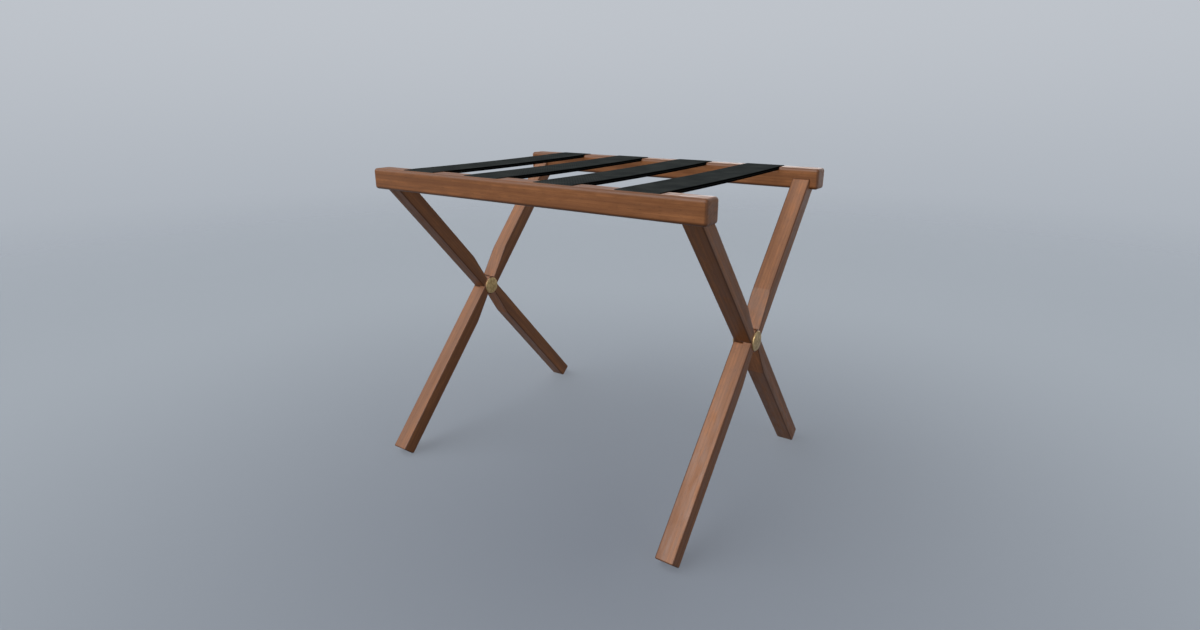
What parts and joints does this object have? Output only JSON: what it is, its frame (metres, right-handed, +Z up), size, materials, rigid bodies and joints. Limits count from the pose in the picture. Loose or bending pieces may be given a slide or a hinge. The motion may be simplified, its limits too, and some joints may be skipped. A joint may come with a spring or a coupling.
{
  "type": "folding luggage rack",
  "caption": "Folding wooden luggage rack with rails on crossed legs, brass-capped pivots and flat black webbing straps across the top that carry a suitcase.",
  "frame": {"origin": "on the floor under the middle of the rack, half way between the rails and half way along them", "axes": "+X along the rails to the right, +Y from the front rail to the back rail, +Z up"},
  "size_m": [0.6, 0.4784, 0.506],
  "materials": {
    "wood": "satin lacquer over walnut stain",
    "dowel": "bare beech",
    "brass": "aged satin",
    "washer": "moulded nylon",
    "strap": "woven black webbing",
    "tack": "bright steel"
  },
  "bodies": {
    "front_frame": {"front_rail": "wood", "front_rail_leg_left": "wood", "front_rail_leg_left_dowel_a": "dowel", "front_rail_leg_left_dowel_b": "dowel", "front_rail_leg_right": "wood", "front_rail_leg_right_dowel_a": "dowel", "front_rail_leg_right_dowel_b": "dowel", "pivot_barrel_left": "brass", "pivot_pin_left": "brass", "pivot_washer_left": "washer", "pivot_barrel_right": "brass", "pivot_pin_right": "brass", "pivot_washer_right": "washer", "strap_1": "strap", "strap_1_front_tack_a": "tack", "strap_1_front_tack_b": "tack", "strap_2": "strap", "strap_2_front_tack_a": "tack", "strap_2_front_tack_b": "tack", "strap_3": "strap", "strap_3_front_tack_a": "tack", "strap_3_front_tack_b": "tack", "strap_4": "strap", "strap_4_front_tack_a": "tack", "strap_4_front_tack_b": "tack"},
    "back_frame": {"back_rail": "wood", "back_rail_leg_left": "wood", "back_rail_leg_left_dowel_a": "dowel", "back_rail_leg_left_dowel_b": "dowel", "back_rail_leg_right": "wood", "back_rail_leg_right_dowel_a": "dowel", "back_rail_leg_right_dowel_b": "dowel", "strap_1_back_tack_a": "tack", "strap_1_back_tack_b": "tack", "strap_2_back_tack_a": "tack", "strap_2_back_tack_b": "tack", "strap_3_back_tack_a": "tack", "strap_3_back_tack_b": "tack", "strap_4_back_tack_a": "tack", "strap_4_back_tack_b": "tack"}
  },
  "joints": [
    {"name": "fold", "type": "hinge", "parent": "front_frame", "child": "back_frame", "pos_m": [0, 0, 0.2654], "axis": [1, 0, 0], "range_deg": [0, 64], "deforming": ["strap_1", "strap_2", "strap_3", "strap_4"]}
  ]
}
